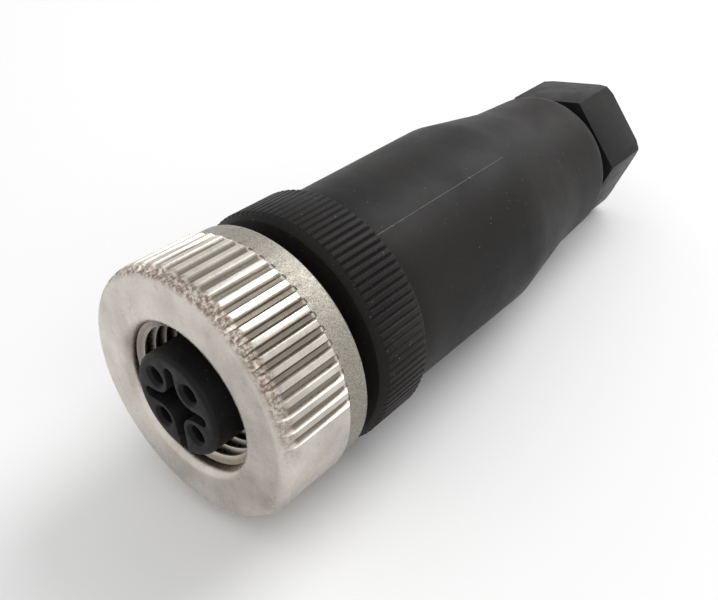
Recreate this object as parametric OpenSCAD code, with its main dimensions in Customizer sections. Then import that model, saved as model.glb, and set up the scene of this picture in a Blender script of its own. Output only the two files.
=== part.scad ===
// M12 cable connector, female, with a fluted die-cast coupling nut.
// The connector lies along +X: mating face at the -X end, cable gland at the +X end, +Z up.
// The origin is on the connector's axis, in the plane of the coupling nut's front face.

/* [Coupling nut] */
// Diameter over the flutes' lands
nut_d = 20.3; // [19.6:0.1:22]
// Length of the coupling nut
nut_l = 8.6; // [8.2:0.1:10]
// Length of the fluted grip
grip_l = 6.5; // [4:0.1:7.4]
// Diameter of the flat front face
nut_face_d = 18.4; // [17:0.1:19]
// Axial length of the rounding from the front face to the grip
nut_nose_l = 1.3; // [0.6:0.1:2]
// Diameter of the plain band behind the grip
nut_band_d = 19.8; // [19:0.1:19.9]
// Ribs in each of the two fluted fields
rib_n = 21; // [9:1:25]
// Angle from one rib to the next, in degrees
rib_pitch = 6.3; // [5.5:0.1:6.8]
// Width of a rib's land
rib_w = 0.42; // [0.3:0.02:0.5]
// Depth of a flute
flute_depth = 0.34; // [0.15:0.01:0.4]
// Width of a flute's floor
flute_floor_w = 0.3; // [0.2:0.05:0.4]
// Angle from +Z to the middle of the upper fluted field, in degrees
rib_field_turn = 20; // [0:5:90]
// Major diameter of the coupling thread
thread_d = 12; // [11.6:0.1:12.6]
// Pitch of the coupling thread
thread_pitch = 1; // [0.75:0.25:1.25]
// Radius of the rounded lip at the thread's mouth
lip_r = 0.75; // [0.3:0.05:1]
// Thickness of the inner shoulder that holds the nut on the insert
shoulder_l = 1.7; // [1:0.1:2.2]

/* [Contact insert] */
// Diameter of the insert's nose
nose_d = 8.3; // [8.1:0.1:8.6]
// How far the nose stands out of the nut's front face
nose_proud = 0.65; // [0.2:0.05:1.2]
// Rounding of the nose's front edge
nose_round = 0.4; // [0.1:0.05:0.5]
// Diameter of the insert's stem, which the nut turns on
stem_d = 8.9; // [8.7:0.1:9.4]
// Thickness of the flange that the nut pulls on
flange_l = 1.2; // [0.8:0.1:1.5]
// Pitch circle diameter of the sockets
socket_pcd = 5; // [4.8:0.1:5.2]
// Number of sockets
socket_n = 4; // [3:1:4]
// Diameter of a socket's entry hole
entry_d = 1.4; // [1.2:0.1:1.6]
// Diameter of the entry hole's chamfer
entry_mouth_d = 1.9; // [1.7:0.1:2.1]
// Diameter of the boss round each socket
boss_d = 2.5; // [2.3:0.1:2.7]
// Depth of the relief between the sockets
relief_depth = 3; // [1.5:0.1:4]
// Width of the relief's arms
relief_w = 0.95; // [0.7:0.05:1.1]
// Distance from the axis to the arms' ends
relief_reach = 3.25; // [3:0.05:3.5]
// Diameter of the relief's middle, as a share of the pitch circle
relief_core = 0.72; // [0.6:0.02:0.76]
// Width of the keyway in the nose
keyway_w = 0.8; // [0.6:0.05:1]
// Section diameter of the face seal
face_seal_w = 1.1; // [0.8:0.05:1.2]

/* [Contacts] */
// Diameter of the pin that a socket takes
pin_d = 1; // [0.8:0.1:1.1]
// Diameter of a contact's shaft
contact_d = 1.9; // [1.8:0.05:2]
// Depth of the bore for the pin
pin_depth = 6.5; // [5:0.5:8]
// Diameter of a contact's screw terminal
terminal_d = 3; // [2.6:0.1:3.2]
// Length of a contact's screw terminal
terminal_l = 9.6; // [8:0.2:10]
// Diameter of the hole for the wire
wire_hole_d = 1.7; // [1:0.1:1.8]
// Diameter of a terminal screw's shank
screw_d = 1.36; // [1:0.02:1.4]
// Diameter of a terminal screw's head
screw_head_d = 2.3; // [1.9:0.1:2.5]
// Width of a terminal screw's slot
screw_slot_w = 0.35; // [0.25:0.05:0.45]

/* [Knurled collar] */
// Diameter over the knurl
collar_d = 20; // [19:0.1:21]
// Length of the knurled ring
collar_l = 5.2; // [4.4:0.1:7]
// Gap between the coupling nut and the collar
collar_gap = 1.65; // [0.8:0.05:2.5]
// Thickness of the collar's web round the stem
collar_web_l = 3.8; // [3:0.1:4.2]
// Ridges round the collar
knurl_n = 100; // [60:1:120]
// Depth of the knurl
knurl_depth = 0.22; // [0.1:0.01:0.3]
// Chamfer of the collar's front edge
collar_chamfer = 0.55; // [0.2:0.05:0.8]
// Diameter of the threaded spigot that carries the housing
spigot_d = 16; // [15.8:0.1:16.2]
// Length of the threaded spigot
spigot_l = 5; // [4:0.1:6]
// Wall of the spigot
spigot_wall = 1; // [0.8:0.1:1.2]
// Length of the terminal block
block_l = 13.9; // [13.4:0.1:15]

/* [Housing] */
// Wall of the housing's barrel round the spigot's thread
barrel_wall = 1.17; // [1:0.01:1.6]
// Growth of the barrel's diameter towards the cone
barrel_draft = 0.15; // [0:0.05:0.4]
// Length of the barrel
barrel_l = 17.7; // [16.9:0.1:26]
// Length of the cone behind the barrel
cone_l = 8.9; // [7:0.1:12]
// Diameter of the neck where the cone ends
neck_d = 15.7; // [15.4:0.1:16.4]
// Loss of the neck's diameter towards its end
neck_draft = 0.6; // [0:0.05:0.7]
// How far the neck's bore reaches into the cone
bore_lead = 3.3; // [2:0.1:4]
// Length of the neck
neck_l = 7.5; // [6.8:0.1:10]
// Depth of the rounding at the neck's end
neck_round = 0.9; // [0.2:0.05:1]
// Length of that rounding
neck_round_l = 1.7; // [0.5:0.1:2.5]
// Diameter of the wiring chamber
chamber_d = 14.8; // [14.2:0.1:15.2]
// Length of the funnel from the chamber to the web
funnel_l = 3.5; // [2:0.1:4]
// Diameter of the opening in the housing's web
web_hole_d = 8; // [7:0.1:9]
// Thickness of the housing's web
web_l = 2; // [1.2:0.1:2.4]
// Section diameter of the housing's front seal
housing_seal_w = 1; // [0.8:0.05:1.1]

/* [Cable gland] */
// Major diameter of the gland's thread
gland_d = 12.5; // [12.1:0.1:12.8]
// Diameter of the hole for the cable
cable_hole_d = 7; // [5.6:0.1:7.4]
// Inner diameter of the rubber seal
seal_hole_d = 6; // [4:0.1:6.6]
// Length of the rubber seal
seal_l = 4.2; // [3.4:0.1:4.4]
// Gap between the seal and the clamp cage before the gland is tightened
squeeze_gap = 0.8; // [0.75:0.01:0.95]
// Thickness of the clamp cage's ring
cage_ring_l = 0.8; // [0.5:0.1:1.2]
// Wall of the clamp cage's fingers
finger_wall = 1.2; // [0.8:0.1:1.4]
// Number of fingers on the clamp cage
finger_n = 8; // [5:1:10]
// Width of the slots between the fingers
finger_gap = 0.7; // [0.4:0.1:1]
// Wall of the gland screw's shank
shank_wall = 1.2; // [1:0.1:1.3]
// Gap between the housing's neck and the gland screw's head
head_gap = 1.2; // [0.9:0.05:2]
// Length of the gland screw's hexagonal head
head_l = 6.6; // [5:0.1:8]
// Width across the head's flats
head_af = 13; // [12.6:0.1:14]
// Length of the cone in the head that closes the fingers
head_cone_l = 2.8; // [1.6:0.1:3.4]
// Chamfer of the head's rear corners
head_chamfer = 0.45; // [0.1:0.05:0.8]
// Turn of the head's hexagon, in degrees
head_turn = 55; // [0:5:60]

/* [Hidden] */
$fn = 96;
arc_steps = 6;      // segments in each rounded corner of a turned outline
cut = 0.5;          // how far a cutter runs past the face that it opens
seat = 0.04;        // clearance between pieces that are pressed or screwed together
run = 0.08;         // radial clearance of a turning or sliding fit
edge = 0.25;        // small chamfers
thread_runout = 0.3; // how far the housing's thread runs past the spigot
thread_height = 0.541; // height of a thread, as a share of its pitch
screw_at = 0.65;    // place of the terminal screws, as a share of the terminal's length
wire_stop = 0.3;    // end of the wire hole, as a share of the terminal's length
head_share = 0.8;   // height of a screw's head, as a share of its pocket
slot_share = 0.65;  // floor of a screw's slot, as a share of the head's height

// Radii and stations along the axis, from the mating face back
nut_r = nut_d / 2;
thread_r = thread_d / 2;
thread_crest_r = thread_r - thread_height * thread_pitch;
nose_r = nose_d / 2;
stem_r = stem_d / 2;
flange_r = thread_crest_r - 0.1;
shoulder_x = nut_l - shoulder_l;
flange_x = shoulder_x - run - flange_l;
seal_seat_r = min(nose_r - 0.1, flange_r - face_seal_w - seat);
seal_seat_l = face_seal_w + 2 * seat;
collar_x = nut_l + collar_gap;
collar_r = collar_d / 2;
collar_end_x = collar_x + collar_l;
block_x = collar_x + collar_web_l + seat;
spigot_r = spigot_d / 2;
block_r = spigot_r - spigot_wall - seat;
block_end_x = block_x + block_l;
contact_x = 0.6;
socket_r = socket_pcd / 2;
terminal_x = block_end_x - cut - terminal_l;
screw_x = terminal_x + screw_at * terminal_l;
screw_seat_r = socket_r + terminal_d / 2 + seat;
screw_head_l = head_share * (block_r - screw_seat_r);
housing_x = collar_end_x + seat;
barrel_r = spigot_r + run + barrel_wall;
cone_x = housing_x + barrel_l;
neck_x = cone_x + cone_l;
neck_end_x = neck_x + neck_l;
neck_r = neck_d / 2;
neck_end_r = neck_r - neck_draft / 2;
chamber_r = chamber_d / 2;
seal_groove_r = spigot_r - 0.4;
seal_pocket_r = seal_groove_r + housing_seal_w + 2 * seat;
seal_pocket_l = housing_seal_w + 2 * seat;
gland_r = gland_d / 2;
seal_r = gland_r - seat;
web_end_x = neck_x - bore_lead;
seal_x = web_end_x + seat;
cage_x = seal_x + seal_l + squeeze_gap;
shank_x = cage_x + cage_ring_l + seat;
shank_r = gland_r - run;
shank_bore_r = shank_r - shank_wall;
head_x = neck_end_x + head_gap;
head_end_x = head_x + head_l;
head_cone_x = head_x + seat;
cable_hole_r = cable_hole_d / 2;
finger_r = shank_bore_r - run;
finger_end_x = head_cone_x - seat;

// Quarter-round outline points [radius, x] from (r0, x0) to (r1, x1), leaving the first point along the radius
function round_out(r0, x0, r1, x1) =
    [for (i = [0 : arc_steps]) let (a = 90 * i / arc_steps)
        [r0 + (r1 - r0) * sin(a), x0 + (x1 - x0) * (1 - cos(a))]];

// The same, leaving the first point along the axis
function round_in(r0, x0, r1, x1) =
    [for (i = [0 : arc_steps]) let (a = 90 * i / arc_steps)
        [r0 + (r1 - r0) * (1 - cos(a)), x0 + (x1 - x0) * sin(a)]];

// Turns an outline of [radius, x] points about the connector's axis
module turned(points) {
    on_axis() rotate_extrude() polygon(points);
}

// Stands local Z along +X, with local Y up
module on_axis(x = 0) {
    translate([x, 0, 0]) rotate([90, 0, 90]) children();
}

module ring(r, w, x) {
    on_axis(x + w / 2) rotate_extrude() translate([r + w / 2, 0]) circle(d = w, $fn = 32);
}

// Places children at each socket, with local X pointing away from the axis
module at_sockets(x) {
    on_axis(x) for (i = [0 : socket_n - 1]) rotate(45 + i * 360 / socket_n) translate([socket_r, 0, 0]) children();
}

module flute() {
    top_w = nut_r * 2 * tan(rib_pitch / 2) - rib_w;
    slope = (top_w - flute_floor_w) / flute_depth;
    far = flute_depth + cut;
    translate([0, 0, -cut]) linear_extrude(height = cut + grip_l + edge / 2) translate([nut_r - flute_depth, 0])
        polygon([[0, -flute_floor_w / 2], [far, -(flute_floor_w + slope * far) / 2],
                 [far, (flute_floor_w + slope * far) / 2], [0, flute_floor_w / 2]]);
}

module coupling_nut() {
    band_r = nut_band_d / 2;
    stem_hole_r = stem_r + run;
    color([0.78, 0.76, 0.72]) difference() {
        turned(concat(
            round_out(nut_face_d / 2, 0, nut_r, nut_nose_l),
            [[nut_r, grip_l - edge], [band_r, grip_l], [band_r, nut_l - edge], [band_r - edge, nut_l],
             [stem_hole_r, nut_l], [stem_hole_r, shoulder_x], [thread_r, shoulder_x]],
            round_in(thread_r, lip_r, thread_r + lip_r, 0)));
        on_axis() for (side = [0, 180], i = [0 : rib_n])
            rotate(90 + rib_field_turn + side + (i - rib_n / 2) * rib_pitch) flute();
    }
}

module relief() {
    depth = relief_depth;
    arm_l = relief_reach - relief_w / 2;
    on_axis(-nose_proud - cut) difference() {
        union() {
            cylinder(r = socket_r * relief_core, h = depth + cut);
            for (a = [0 : 90 : 270]) rotate(a) {
                translate([0, -relief_w / 2, 0]) cube([arm_l, relief_w, depth + cut]);
                translate([arm_l, 0, 0]) cylinder(d = relief_w, h = depth + cut);
            }
            rotate(-90) translate([0, -keyway_w / 2, 0]) cube([nose_r + cut, keyway_w, depth + cut]);
        }
        for (i = [0 : socket_n - 1]) rotate(45 + i * 360 / socket_n) translate([socket_r, 0, -cut])
            cylinder(d = boss_d, h = depth + 3 * cut);
    }
}

module contact_insert() {
    contact_hole_r = contact_d / 2 + seat;
    mouth_l = (entry_mouth_d - entry_d) / 2;
    face_x = -nose_proud;
    tail_x = block_x - seat;
    color([0.07, 0.07, 0.075]) difference() {
        turned(concat(
            [[0, face_x]],
            round_out(nose_r - nose_round, face_x, nose_r, face_x + nose_round),
            [[nose_r, flange_x - seal_seat_l], [seal_seat_r, flange_x - seal_seat_l], [seal_seat_r, flange_x],
             [flange_r, flange_x], [flange_r, flange_x + flange_l], [stem_r, flange_x + flange_l],
             [stem_r, tail_x], [0, tail_x]]));
        relief();
        at_sockets(face_x) {
            translate([0, 0, -cut]) cylinder(d = entry_d, h = contact_x - face_x + 2 * cut);
            cylinder(d1 = entry_mouth_d, d2 = entry_d, h = mouth_l);
            translate([0, 0, contact_x - face_x - seat]) cylinder(r = contact_hole_r, h = tail_x - contact_x + cut);
        }
    }
}

module face_seal() {
    color([0.05, 0.05, 0.05]) ring(seal_seat_r + seat / 2, face_seal_w, flange_x - face_seal_w - seat);
}

module contact(i) {
    shaft_l = terminal_x - contact_x;
    color([0.85, 0.68, 0.35]) on_axis(contact_x) rotate(45 + i * 360 / socket_n) translate([socket_r, 0, 0])
        difference() {
            union() {
                cylinder(d = contact_d, h = shaft_l + cut);
                translate([0, 0, shaft_l]) cylinder(d = terminal_d, h = terminal_l);
            }
            translate([0, 0, -cut]) cylinder(d = pin_d + seat, h = pin_depth + cut);
            translate([0, 0, shaft_l + wire_stop * terminal_l]) cylinder(d = wire_hole_d, h = terminal_l);
            translate([0, 0, screw_x - contact_x]) rotate([0, 90, 0]) cylinder(d = screw_d + 2 * seat, h = terminal_d);
        }
}

module contact_1() { contact(0); }
module contact_2() { contact(1); }
module contact_3() { contact(2); }
module contact_4() { if (socket_n > 3) contact(3); }

// Each ridge has a narrow land and a vee beside it
module knurl_prism(l) {
    step = 360 / knurl_n;
    floor_r = collar_r - knurl_depth;
    linear_extrude(height = l) polygon([
        for (i = [0 : knurl_n - 1], corner = [[-0.3, collar_r], [0.2, collar_r], [0.45, floor_r]])
            let (a = (i + corner[0]) * step) corner[1] * [cos(a), sin(a)]]);
}

module knurled_collar() {
    pocket_x = block_x - seat;
    stem_hole_r = stem_r + seat;
    pocket_r = block_r + seat;
    groove_x = collar_end_x + seal_pocket_l;
    thread_end_x = collar_end_x + spigot_l;
    color([0.09, 0.09, 0.095]) union() {
        intersection() {
            on_axis(collar_x) knurl_prism(collar_l);
            turned([[stem_hole_r, collar_x], [collar_r - collar_chamfer, collar_x],
                    [collar_r + cut, collar_x + collar_chamfer + cut],
                    [collar_r + cut, collar_end_x - cut - edge], [collar_r - edge, collar_end_x],
                    [pocket_r, collar_end_x], [pocket_r, pocket_x], [stem_hole_r, pocket_x]]);
        }
        turned([[pocket_r, collar_end_x - edge], [seal_groove_r, collar_end_x - edge], [seal_groove_r, groove_x],
                [spigot_r, groove_x], [spigot_r, thread_end_x - edge], [spigot_r - edge, thread_end_x],
                [pocket_r, thread_end_x]]);
    }
}

module terminal_block() {
    terminal_hole_r = terminal_d / 2 + seat;
    color([0.12, 0.12, 0.125]) difference() {
        turned([[0, block_x], [block_r, block_x], [block_r, block_end_x - edge], [block_r - edge, block_end_x],
                [0, block_end_x]]);
        at_sockets(block_x) {
            translate([0, 0, -cut]) cylinder(r = contact_d / 2 + seat, h = block_l);
            translate([0, 0, terminal_x - block_x - seat]) cylinder(r = terminal_hole_r, h = terminal_l + 2 * cut);
            translate([0, 0, screw_x - block_x]) rotate([0, 90, 0]) cylinder(d = screw_head_d + 2 * seat, h = block_r);
        }
    }
}

module terminal_screws() {
    reach = (terminal_d - wire_hole_d) / 2;
    color([0.72, 0.73, 0.74]) at_sockets(screw_x) rotate([0, 90, 0]) translate([0, 0, screw_seat_r - socket_r])
        difference() {
            union() {
                cylinder(d = screw_head_d, h = screw_head_l);
                translate([0, 0, -reach]) cylinder(d = screw_d, h = reach + cut);
            }
            translate([-screw_head_d, -screw_slot_w / 2, slot_share * screw_head_l])
                cube([2 * screw_head_d, screw_slot_w, screw_head_l]);
        }
}

module housing_seal() {
    color([0.05, 0.05, 0.05]) ring(seal_groove_r + seat, housing_seal_w, collar_end_x + seat);
}

module housing() {
    thread_hole_r = spigot_r + run;
    barrel_end_r = barrel_r + barrel_draft / 2;
    pocket_end_x = collar_end_x + seal_pocket_l;
    thread_end_x = collar_end_x + spigot_l + thread_runout;
    web_x = web_end_x - web_l;
    color([0.10, 0.10, 0.105]) turned(concat(
        [[seal_pocket_r, housing_x], [barrel_r - edge, housing_x], [barrel_r, housing_x + edge],
         [barrel_end_r, cone_x], [neck_r, neck_x]],
        round_in(neck_end_r, neck_end_x - neck_round_l, neck_end_r - neck_round, neck_end_x),
        [[gland_r, neck_end_x], [gland_r, web_end_x], [web_hole_d / 2, web_end_x], [web_hole_d / 2, web_x],
         [chamber_r, web_x - funnel_l], [chamber_r, thread_end_x], [thread_hole_r, thread_end_x],
         [thread_hole_r, pocket_end_x], [seal_pocket_r, pocket_end_x]]));
}

module cable_seal() {
    hole_r = seal_hole_d / 2;
    color([0.16, 0.16, 0.16]) turned([
        [hole_r + edge, seal_x], [seal_r - edge, seal_x], [seal_r, seal_x + edge], [seal_r, seal_x + seal_l - edge],
        [seal_r - edge, seal_x + seal_l], [hole_r + edge, seal_x + seal_l], [hole_r, seal_x + seal_l - edge],
        [hole_r, seal_x + edge]]);
}

module clamp_cage() {
    ring_r = gland_r - run;
    hole_r = finger_r - finger_wall;
    ring_end_x = cage_x + cage_ring_l;
    color([0.13, 0.13, 0.13]) difference() {
        turned([[hole_r, cage_x], [ring_r, cage_x], [ring_r, ring_end_x], [finger_r, ring_end_x],
                [finger_r, finger_end_x - edge], [finger_r - edge, finger_end_x], [hole_r, finger_end_x]]);
        on_axis(ring_end_x) for (i = [0 : finger_n - 1]) rotate(i * 360 / finger_n)
            translate([0, -finger_gap / 2, 0]) cube([gland_r, finger_gap, finger_end_x - ring_end_x + cut]);
    }
}

module gland_screw() {
    corner_r = head_af / 2 / cos(30);
    color([0.09, 0.09, 0.09]) difference() {
        union() {
            turned([[0, shank_x], [shank_r - edge, shank_x], [shank_r, shank_x + edge], [shank_r, head_x + edge],
                    [0, head_x + edge]]);
            intersection() {
                on_axis(head_x) rotate(head_turn) cylinder(r = corner_r, h = head_l, $fn = 6);
                turned([[0, head_x], [corner_r + cut, head_x], [corner_r + cut, head_end_x - head_chamfer - cut],
                        [corner_r - head_chamfer, head_end_x], [0, head_end_x]]);
            }
        }
        turned([[0, shank_x - cut], [shank_bore_r, shank_x - cut], [shank_bore_r, head_cone_x],
                [cable_hole_r, head_cone_x + head_cone_l], [cable_hole_r, head_end_x - edge],
                [cable_hole_r + edge + cut, head_end_x + cut], [0, head_end_x + cut]]);
    }
}

coupling_nut();
contact_insert();
face_seal();
contact_1();
contact_2();
contact_3();
contact_4();
knurled_collar();
terminal_block();
terminal_screws();
housing_seal();
housing();
cable_seal();
clamp_cage();
gland_screw();
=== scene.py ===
import math

import bmesh
import bpy
from mathutils import Matrix, Vector


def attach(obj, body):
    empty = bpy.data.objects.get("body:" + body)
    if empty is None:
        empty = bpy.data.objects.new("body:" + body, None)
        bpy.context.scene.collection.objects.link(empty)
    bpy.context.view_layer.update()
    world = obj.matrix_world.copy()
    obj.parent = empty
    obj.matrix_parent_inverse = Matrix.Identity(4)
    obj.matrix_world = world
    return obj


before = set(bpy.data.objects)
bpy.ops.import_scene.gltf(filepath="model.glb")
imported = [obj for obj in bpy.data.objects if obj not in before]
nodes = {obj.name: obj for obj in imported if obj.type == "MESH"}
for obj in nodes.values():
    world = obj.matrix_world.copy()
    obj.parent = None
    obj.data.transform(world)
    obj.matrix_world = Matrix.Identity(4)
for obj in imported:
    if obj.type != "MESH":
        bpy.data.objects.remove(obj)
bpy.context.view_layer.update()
mm = 0.001
print("frame loaded:", len(nodes), "nodes")


# small helpers for node materials

def newMaterial(name):
    material = bpy.data.materials.new(name)
    material.use_nodes = True
    tree = material.node_tree
    return material, tree, tree.nodes["Principled BSDF"]


def link(tree, outSocket, inSocket):
    tree.links.new(outSocket, inSocket)


def objectPoint(tree):
    return tree.nodes.new("ShaderNodeTexCoord").outputs["Object"]


def stretched(tree, point, scale):
    mapping = tree.nodes.new("ShaderNodeMapping")
    mapping.inputs["Scale"].default_value = scale
    link(tree, point, mapping.inputs["Vector"])
    return mapping.outputs["Vector"]


def noise(tree, point, size, detail=3.0, rough=0.5):
    # size is the width of one blotch in millimetres
    texture = tree.nodes.new("ShaderNodeTexNoise")
    texture.inputs["Scale"].default_value = 1 / (size * mm)
    texture.inputs["Detail"].default_value = detail
    texture.inputs["Roughness"].default_value = rough
    link(tree, point, texture.inputs["Vector"])
    return texture.outputs["Fac"]


def flecks(tree, point, size):
    # distance to scattered points, for dust and pits
    texture = tree.nodes.new("ShaderNodeTexVoronoi")
    texture.inputs["Scale"].default_value = 1 / (size * mm)
    texture.inputs["Randomness"].default_value = 1
    link(tree, point, texture.inputs["Vector"])
    return texture.outputs["Distance"]


def mapped(tree, value, low, high, newLow=0.0, newHigh=1.0):
    # clamped ramp; low may be above high, for a falling one
    span = tree.nodes.new("ShaderNodeMapRange")
    span.inputs["From Min"].default_value = low
    span.inputs["From Max"].default_value = high
    span.inputs["To Min"].default_value = newLow
    span.inputs["To Max"].default_value = newHigh
    link(tree, value, span.inputs["Value"])
    return span.outputs["Result"]


def product(tree, *factors):
    result = factors[0]
    for factor in factors[1:]:
        result = combined(tree, "MULTIPLY", result, factor)
    return result


def combined(tree, operation, first, second):
    node = tree.nodes.new("ShaderNodeMath")
    node.operation = operation
    for socket, value in zip(node.inputs, (first, second)):
        if isinstance(value, (int, float)):
            socket.default_value = value
        else:
            link(tree, value, socket)
    return node.outputs["Value"]


def mixedColour(tree, factor, first, second):
    mix = tree.nodes.new("ShaderNodeMix")
    mix.data_type = "RGBA"
    link(tree, factor, mix.inputs["Factor"])
    for key, value in ((6, first), (7, second)):  # the colour sockets A and B
        if isinstance(value, tuple):
            mix.inputs[key].default_value = (*value, 1)
        else:
            link(tree, value, mix.inputs[key])
    return mix.outputs[2]


def bumped(tree, height, distance, strength, before=None):
    bump = tree.nodes.new("ShaderNodeBump")
    bump.inputs["Strength"].default_value = strength
    bump.inputs["Distance"].default_value = distance * mm
    link(tree, height, bump.inputs["Height"])
    if before is not None:
        link(tree, before, bump.inputs["Normal"])
    return bump.outputs["Normal"]


def coordinates(tree, point):
    split = tree.nodes.new("ShaderNodeSeparateXYZ")
    link(tree, point, split.inputs["Vector"])
    return [split.outputs[key] for key in "XYZ"]


def distance(tree, first, second):
    square = combined(tree, "ADD", product(tree, first, first), product(tree, second, second))
    return combined(tree, "SQRT", square, 0)


# finishes

nickelLook = {
    "bright": (0.64, 0.60, 0.545), "dull": (0.46, 0.425, 0.38), "cloudSize": 3.5,
    "tarnish": (0.21, 0.155, 0.12), "filmSize": 1.1, "filmCover": 0.35, "blotchSize": 0.28,
    # the flute colour on the next line is painted shade for the grooves
    "fluteShade": (0.12, 0.098, 0.07), "fluteShadeCover": 0.8, "landRadius": 10.13, "fluteRadius": 9.95,
    # the bore colour on the next line is painted shade inside the threaded bore
    "bore": (0.20, 0.165, 0.12), "boreWall": 6.7, "boreRoot": 6.15,
    "castDark": (0.13, 0.122, 0.095), "castBright": (0.42, 0.395, 0.345),
    "castCover": 0.85, "castSize": 0.11,
    "noseFrom": 0.05, "gripFrom": 1.1, "bandFrom": 6.45,
    "roughLow": 0.22, "roughHigh": 0.40, "castRough": 0.2, "fineSize": 0.35, "pitSize": 0.6,
}


def makeNickel():
    # places are in millimetres: x along the axis, radius from it
    look = nickelLook
    material, tree, shader = newMaterial("satinNickel")
    point = objectPoint(tree)
    x, y, z = coordinates(tree, point)
    radius = distance(tree, y, z)

    def ramp(value, start, end, *ends):
        return mapped(tree, value, start * mm, end * mm, *ends)

    cloud = mapped(tree, noise(tree, point, look["cloudSize"], 4), 0.35, 0.7)
    fine = noise(tree, point, look["fineSize"], 4, 0.65)
    base = mixedColour(tree, cloud, look["bright"], look["dull"])

    # brown film in small blotches, heaviest on the upper rounding behind the face
    film = mapped(tree, noise(tree, point, look["filmSize"], 5, 0.7), 0.56, 0.74, 0, look["filmCover"])
    onNose = product(tree, ramp(x, look["noseFrom"], look["noseFrom"] + 0.25), ramp(x, 1.5, 1.0),
                     ramp(z, -2, 4), ramp(radius, 8.6, 9.2))
    blotch = mapped(tree, noise(tree, point, look["blotchSize"], 4, 0.7), 0.38, 0.58)
    film = combined(tree, "MAXIMUM", film, product(tree, onNose, blotch))
    base = mixedColour(tree, film, base, look["tarnish"])

    # painted shade down in the flutes: the grooves are painted darker
    low = ramp(radius, look["landRadius"], look["fluteRadius"])
    inGrip = product(tree, ramp(x, look["gripFrom"], look["gripFrom"] + 0.3),
                     ramp(x, look["bandFrom"], look["bandFrom"] - 0.15), ramp(radius, 9.3, 9.5))
    base = mixedColour(tree, product(tree, low, inGrip, look["fluteShadeCover"]), base, look["fluteShade"])

    # painted shade: the threaded bore is painted dull and brown behind its lip, less on the crests, which
    # stay lighter as painted highlight lines
    inBoreShade = product(tree, ramp(radius, look["boreWall"], look["boreRoot"]), ramp(x, 0.3, 1.1))
    crest = ramp(radius, 5.52, 5.75, 0.25, 0.85)
    base = mixedColour(tree, product(tree, inBoreShade, crest), base, look["bore"])

    # the band behind the grip is as cast, with a finer grain
    band = ramp(x, look["bandFrom"] - 0.05, look["bandFrom"] + 0.1)
    grain = noise(tree, point, look["castSize"], 3, 0.7)
    spotted = mixedColour(tree, mapped(tree, grain, 0.36, 0.68), look["castDark"], look["castBright"])
    base = mixedColour(tree, product(tree, band, look["castCover"]), base, spotted)
    link(tree, base, shader.inputs["Base Color"])

    shader.inputs["Metallic"].default_value = 1
    smoothRough = mapped(tree, fine, 0.3, 0.7, look["roughLow"], look["roughHigh"])
    rough = combined(tree, "ADD", smoothRough, product(tree, band, look["castRough"]))
    link(tree, rough, shader.inputs["Roughness"])
    pit = mapped(tree, flecks(tree, point, look["pitSize"]), 0.05, 0.16)
    normal = bumped(tree, pit, 0.01, 0.2)
    normal = bumped(tree, fine, 0.01, 0.3, normal)
    normal = bumped(tree, product(tree, grain, band), 0.03, 0.7, normal)
    link(tree, normal, shader.inputs["Normal"])
    return material


def makePlastic(name, look):
    # moulded polyamide: eroded texture, flow shade, dust caught on it
    material, tree, shader = newMaterial(name)
    point = objectPoint(tree)
    flow = mapped(tree, noise(tree, point, look["flowSize"], 3), 0.3, 0.7)
    base = mixedColour(tree, flow, look["colour"], look["shade"])
    grain = noise(tree, point, look["grainSize"], 3, 0.6)
    dot = mapped(tree, flecks(tree, point, look["dustSize"]), 0.05, 0.13, 1, 0)
    sparse = mapped(tree, noise(tree, point, look["dustSize"] * 2.3, 2), 0.5, 0.6)
    dust = product(tree, dot, sparse, look["dust"])
    link(tree, mixedColour(tree, dust, base, look["dustColour"]), shader.inputs["Base Color"])
    wear = mapped(tree, noise(tree, point, look["flowSize"] * 0.4, 5, 0.7), 0.4, 0.75)
    rough = combined(tree, "ADD", product(tree, wear, look["roughSpan"]), look["rough"])
    link(tree, rough, shader.inputs["Roughness"])
    normal = bumped(tree, grain, look["grainDepth"], look["grainStrength"])
    normal = bumped(tree, dust, 0.02, 0.4, normal)
    link(tree, normal, shader.inputs["Normal"])
    shader.inputs["Specular IOR Level"].default_value = look["gloss"]
    return material


housingLook = {
    "colour": (0.008, 0.0076, 0.0076), "shade": (0.015, 0.0132, 0.0125), "flowSize": 14,
    "grainSize": 0.16, "grainDepth": 0.02, "grainStrength": 0.5, "rough": 0.46, "roughSpan": 0.14,
    "dustSize": 0.6, "dust": 0.28, "dustColour": (0.30, 0.29, 0.28), "gloss": 0.13,
}
collarLook = {
    "colour": (0.0075, 0.0068, 0.0068), "shade": (0.017, 0.0145, 0.0135), "flowSize": 6,
    "grainSize": 0.14, "grainDepth": 0.03, "grainStrength": 0.7, "rough": 0.42, "roughSpan": 0.15,
    "dustSize": 0.38, "dust": 0.6, "dustColour": (0.36, 0.34, 0.33), "gloss": 0.12,
}
insertLook = {
    "colour": (0.008, 0.008, 0.0085), "shade": (0.014, 0.0135, 0.0135), "flowSize": 3,
    "grainSize": 0.12, "grainDepth": 0.02, "grainStrength": 0.6, "rough": 0.44, "roughSpan": 0.15,
    "dustSize": 0.3, "dust": 0.5, "dustColour": (0.34, 0.33, 0.32), "gloss": 0.12,
}
glandLook = {
    "colour": (0.009, 0.009, 0.0088), "shade": (0.016, 0.016, 0.0152), "flowSize": 5,
    "grainSize": 0.15, "grainDepth": 0.02, "grainStrength": 0.5, "rough": 0.40, "roughSpan": 0.15,
    "dustSize": 0.7, "dust": 0.35, "dustColour": (0.30, 0.30, 0.28), "gloss": 0.13,
}
innerLook = {
    "colour": (0.050, 0.050, 0.052), "shade": (0.065, 0.064, 0.063), "flowSize": 5,
    "grainSize": 0.15, "grainDepth": 0.02, "grainStrength": 0.4, "rough": 0.45, "roughSpan": 0.1,
    "dustSize": 0.8, "dust": 0.2, "dustColour": (0.25, 0.25, 0.25), "gloss": 0.13,
}
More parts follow.
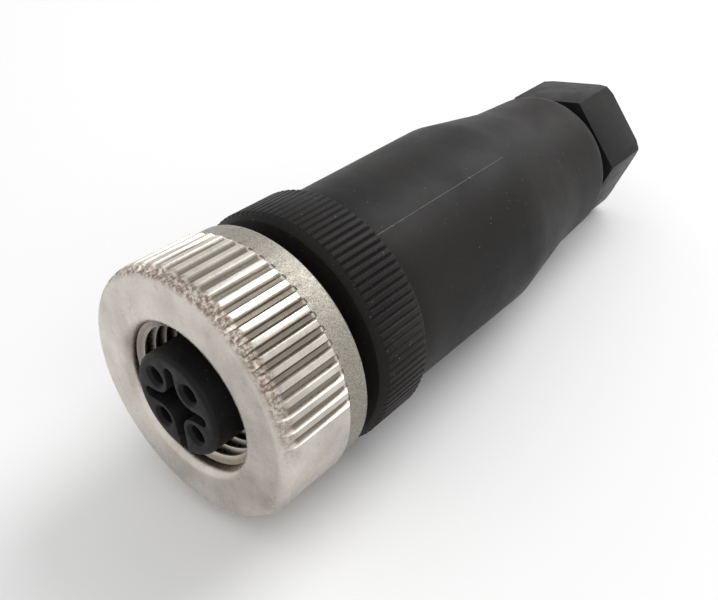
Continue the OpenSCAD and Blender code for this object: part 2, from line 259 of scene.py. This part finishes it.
rubberLook = {
    "colour": (0.018, 0.018, 0.018), "shade": (0.026, 0.026, 0.026), "flowSize": 3,
    "grainSize": 0.1, "grainDepth": 0.015, "grainStrength": 0.5, "rough": 0.6, "roughSpan": 0.15,
    "dustSize": 0.4, "dust": 0.4, "dustColour": (0.2, 0.2, 0.2), "gloss": 0.12,
}


def makeBareMetal(name, look):
    # turned or plated small metal parts, with faint rings from the tool
    material, tree, shader = newMaterial(name)
    point = objectPoint(tree)
    cloud = mapped(tree, noise(tree, point, look["cloudSize"], 3), 0.3, 0.7)
    link(tree, mixedColour(tree, cloud, look["colour"], look["shade"]), shader.inputs["Base Color"])
    shader.inputs["Metallic"].default_value = 1
    rings = noise(tree, stretched(tree, point, look["stretch"]), look["ringSize"], 2)
    rough = mapped(tree, rings, 0.3, 0.7, look["rough"], look["rough"] + look["roughSpan"])
    link(tree, rough, shader.inputs["Roughness"])
    link(tree, bumped(tree, rings, 0.008, 0.35), shader.inputs["Normal"])
    return material


goldLook = {
    "colour": (0.86, 0.66, 0.30), "shade": (0.74, 0.54, 0.24), "cloudSize": 1.2,
    "rough": 0.22, "roughSpan": 0.16, "ringSize": 0.25, "stretch": (3, 0.2, 0.2),
}
steelLook = {
    "colour": (0.72, 0.73, 0.74), "shade": (0.56, 0.58, 0.62), "cloudSize": 1.2,
    "rough": 0.26, "roughSpan": 0.16, "ringSize": 0.25, "stretch": (1, 1, 1),
}

nickel = makeNickel()
housingPlastic = makePlastic("housingPlastic", housingLook)
collarPlastic = makePlastic("collarPlastic", collarLook)
insertPlastic = makePlastic("insertPlastic", insertLook)
glandPlastic = makePlastic("glandPlastic", glandLook)
innerPlastic = makePlastic("innerPlastic", innerLook)
sealRubber = makePlastic("sealRubber", rubberLook)
contactGold = makeBareMetal("contactGold", goldLook)
screwSteel = makeBareMetal("screwSteel", steelLook)

finishes = {
    "coupling_nut": nickel, "contact_insert": insertPlastic, "face_seal": sealRubber,
    "contact_1": contactGold, "contact_2": contactGold, "contact_3": contactGold, "contact_4": contactGold,
    "knurled_collar": collarPlastic, "terminal_block": innerPlastic, "terminal_screws": screwSteel,
    "housing_seal": sealRubber, "housing": housingPlastic, "cable_seal": sealRubber,
    "clamp_cage": innerPlastic, "gland_screw": glandPlastic,
}
for name, material in finishes.items():
    nodes[name].data.materials.clear()
    nodes[name].data.materials.append(material)
print("finishes on", len(finishes), "nodes")


# soft edges on the solids that show

softEdges = {  # width in millimetres, and segments
    "coupling_nut": (0.035, 2), "knurled_collar": (0.03, 1), "contact_insert": (0.05, 2),
    "housing": (0.06, 2), "gland_screw": (0.12, 3),
}
edgeRule = {"weld": 0.0005, "bevelAbove": 28, "sharpAbove": 30}


def smoothByAngle(piece):
    for polygon in piece.data.polygons:
        polygon.use_smooth = True
    piece.data.set_sharp_from_angle(angle=math.radians(edgeRule["sharpAbove"]))


def softenEdges(name, width, segments):
    node = nodes[name]
    weld = node.modifiers.new("weld", "WELD")
    weld.merge_threshold = edgeRule["weld"] * mm
    bevel = node.modifiers.new("softEdge", "BEVEL")
    bevel.width = width * mm
    bevel.segments = segments
    bevel.limit_method = "ANGLE"
    bevel.angle_limit = math.radians(edgeRule["bevelAbove"])
    bevel.use_clamp_overlap = True
    bevel.harden_normals = False
    smoothByAngle(node)


for name, (width, segments) in softEdges.items():
    softenEdges(name, width, segments)
print("edges softened")


# new pieces

def pieceFrom(mesh, name, material, body):
    bmesh.ops.recalc_face_normals(mesh, faces=mesh.faces)
    data = bpy.data.meshes.new(name)
    mesh.to_mesh(data)
    mesh.free()
    data.materials.append(material)
    piece = bpy.data.objects.new(name, data)
    bpy.context.scene.collection.objects.link(piece)
    smoothByAngle(piece)
    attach(piece, body)
    return piece


def helix(name, look, material, body):
    # a closed ridge section, spun along the axis; look is in millimetres
    mesh = bmesh.new()
    half, flat = look["rootWidth"] / 2, look["crestWidth"] / 2
    section = [(look["root"], -half), (look["crest"], -flat), (look["crest"], flat), (look["root"], half)]
    corners = [mesh.verts.new((x * mm, 0, r * mm)) for r, x in section]
    edges = [mesh.edges.new((corners[i], corners[(i + 1) % 4])) for i in range(4)]
    length = (look["to"] - look["from"]) * mm
    turns = (look["to"] - look["from"]) / look["pitch"]
    steps = int(turns * look["stepsPerTurn"])
    bmesh.ops.translate(mesh, verts=mesh.verts, vec=(look["from"] * mm, 0, 0))
    spun = bmesh.ops.spin(mesh, geom=corners + edges, cent=(0, 0, 0), axis=(1, 0, 0),
                          dvec=(length / steps, 0, 0), angle=look["hand"] * turns * math.tau,
                          steps=steps, use_merge=False, use_normal_flip=False, use_duplicate=False)
    last = [e for e in spun["geom_last"] if isinstance(e, bmesh.types.BMEdge)]
    first = [e for e in mesh.edges if e.is_boundary and e not in last]
    bmesh.ops.holes_fill(mesh, edges=first + last, sides=4)
    return pieceFrom(mesh, name, material, body)


couplingThread = {
    "pitch": 1.0, "root": 6.03, "crest": 5.47, "rootWidth": 0.86, "crestWidth": 0.16,
    "from": 1.0, "to": 6.4, "stepsPerTurn": 64, "hand": -1,
}
helix("coupling_thread", couplingThread, nickel, "nut")
print("thread made")

seamLook = {
    "from": 15.85, "to": 33.0, "startRadius": 9.26, "endRadius": 9.325, "angle": -34.0,
    "width": 0.06, "proud": 0.012, "waver": 0.25, "waves": 41, "sections": 12,
    "moteAt": 27.8, "moteSize": 0.13, "moteSunk": 0.01, "moteShape": (1.2, 1, 0.5),
    # the seam colour is a painted highlight, much lighter than the housing plastic
    "colour": (0.075, 0.072, 0.068), "shade": (0.13, 0.125, 0.115), "flowSize": 0.6,
}


def makeSeam():
    # parting line of the mould along the barrel, with one mote of flash on it, both painted lighter than
    # the housing as a painted highlight
    look = seamLook
    own = {key: look[key] for key in ("colour", "shade", "flowSize")}
    litFlash = makePlastic("seamFlashHighlight", {**housingLook, **own})
    mesh = bmesh.new()
    bmesh.ops.create_cube(mesh, size=1)
    lengthwise = [e for e in mesh.edges if abs(e.verts[0].co.x - e.verts[1].co.x) > 0.5]
    bmesh.ops.subdivide_edges(mesh, edges=lengthwise, cuts=look["sections"])
    length = look["to"] - look["from"]
    for vert in mesh.verts:
        share = vert.co.x + 0.5
        radius = look["startRadius"] + (look["endRadius"] - look["startRadius"]) * share
        wave = look["waver"] * math.sin(share * look["waves"]) * look["width"]
        vert.co = Vector((look["from"] + share * length, vert.co.y * look["width"] + wave,
                          radius + (look["proud"] if vert.co.z > 0 else -look["proud"]))) * mm
    mote = bmesh.ops.create_icosphere(mesh, subdivisions=2, radius=look["moteSize"] * mm)
    bmesh.ops.scale(mesh, verts=mote["verts"], vec=look["moteShape"])
    place = Vector((look["moteAt"], 0, look["endRadius"] - look["moteSunk"])) * mm
    bmesh.ops.translate(mesh, verts=mote["verts"], vec=place)
    turn = Matrix.Rotation(math.radians(-look["angle"]), 4, "X")
    bmesh.ops.transform(mesh, matrix=turn, verts=mesh.verts)
    pieceFrom(mesh, "housing_seam", litFlash, "shell")


makeSeam()
print("parting line made")


# floor, lights and camera

floorLook = {
    "size": 3.0, "colour": (0.97, 0.97, 0.97), "tilt": 3.8, "restX": 15.2, "restZ": -10.05,
    "fadeFrom": 90, "fadeTo": 320,
}


def shownRays(tree):
    # rays that show the white background, in the picture and in reflections
    path = tree.nodes.new("ShaderNodeLightPath")
    shown = combined(tree, "MAXIMUM", path.outputs["Is Camera Ray"], path.outputs["Is Glossy Ray"])
    return combined(tree, "MAXIMUM", shown, path.outputs["Is Transmission Ray"])


def makeFloor():
    # pale floor that keeps the shadow and turns white away from the object
    look = floorLook
    material, tree, shader = newMaterial("paleFloor")
    shader.inputs["Base Color"].default_value = (*look["colour"], 1)
    shader.inputs["Roughness"].default_value = 0.9
    x, y, _ = coordinates(tree, objectPoint(tree))
    away = mapped(tree, distance(tree, x, y), look["fadeFrom"] * mm, look["fadeTo"] * mm)
    white = tree.nodes.new("ShaderNodeEmission")
    mix = tree.nodes.new("ShaderNodeMixShader")
    link(tree, product(tree, away, shownRays(tree)), mix.inputs["Fac"])
    link(tree, shader.outputs["BSDF"], mix.inputs[1])
    link(tree, white.outputs["Emission"], mix.inputs[2])
    link(tree, mix.outputs["Shader"], tree.nodes["Material Output"].inputs["Surface"])
    mesh = bmesh.new()
    bmesh.ops.create_grid(mesh, x_segments=1, y_segments=1, size=look["size"] / 2)
    turn = Matrix.Rotation(math.radians(-look["tilt"]), 4, "Y")
    bmesh.ops.transform(mesh, matrix=turn, verts=mesh.verts)
    bmesh.ops.translate(mesh, verts=mesh.verts, vec=(look["restX"] * mm, 0, look["restZ"] * mm))
    data = bpy.data.meshes.new("floor")
    mesh.to_mesh(data)
    mesh.free()
    data.materials.append(material)
    floor = bpy.data.objects.new("floor", data)
    bpy.context.scene.collection.objects.link(floor)


lampLook = {  # places and sizes in metres, power in watts
    "key": {"place": (0.44, -0.12, 0.46), "size": 0.45, "power": 2.2},
    "fill": {"place": (-0.10, -0.55, 0.30), "size": 0.5, "power": 0.5},
}


aimPoint = Vector((0.02, 0, 0))


def makeLamps():
    for name, look in lampLook.items():
        lamp = bpy.data.lights.new(name, "AREA")
        lamp.shape = "DISK"
        lamp.size = look["size"]
        lamp.energy = look["power"]
        holder = bpy.data.objects.new(name, lamp)
        holder.location = look["place"]
        toObject = aimPoint - Vector(look["place"])
        holder.rotation_euler = toObject.to_track_quat("-Z", "Y").to_euler()
        bpy.context.scene.collection.objects.link(holder)


worldLook = {"light": 0.66, "seen": 1.0}


def makeWorld():
    look = worldLook
    world = bpy.data.worlds.new("studio")
    bpy.context.scene.world = world
    world.use_nodes = True
    tree = world.node_tree
    lit = tree.nodes["Background"]
    lit.inputs["Strength"].default_value = look["light"]
    lit.inputs["Color"].default_value = (1, 1, 1, 1)
    seen = tree.nodes.new("ShaderNodeBackground")
    seen.inputs["Color"].default_value = (1, 1, 1, 1)
    seen.inputs["Strength"].default_value = look["seen"]
    mix = tree.nodes.new("ShaderNodeMixShader")
    link(tree, shownRays(tree), mix.inputs["Fac"])
    link(tree, lit.outputs["Background"], mix.inputs[1])
    link(tree, seen.outputs["Background"], mix.inputs[2])
    link(tree, mix.outputs["Shader"], tree.nodes["World Output"].inputs["Surface"])


cameraLook = {
    "place": (-25.672, -40.781, 36.475),
    "right": (0.64430, -0.76240, -0.05961),
    "forward": (0.62583, 0.57087, -0.53153),
    "focalPixels": 837.7, "imageWidth": 718, "sensor": 36.0,
}


def makeCamera():
    look = cameraLook
    camera = bpy.data.cameras.new("camera")
    camera.sensor_fit = "HORIZONTAL"
    camera.sensor_width = look["sensor"]
    camera.lens = look["focalPixels"] / look["imageWidth"] * look["sensor"]
    camera.clip_start = 0.001
    camera.clip_end = 10
    forward = Vector(look["forward"]).normalized()
    right = Vector(look["right"]).normalized()
    turn = Matrix((right, right.cross(forward), -forward)).transposed().to_4x4()
    holder = bpy.data.objects.new("camera", camera)
    holder.matrix_world = Matrix.Translation(Vector(look["place"]) * mm) @ turn
    bpy.context.scene.collection.objects.link(holder)
    bpy.context.scene.camera = holder


makeFloor()
makeLamps()
makeWorld()
makeCamera()
bpy.context.scene.view_settings.view_transform = "Standard"
print("floor, lights and camera set")

bpy.context.view_layer.update()
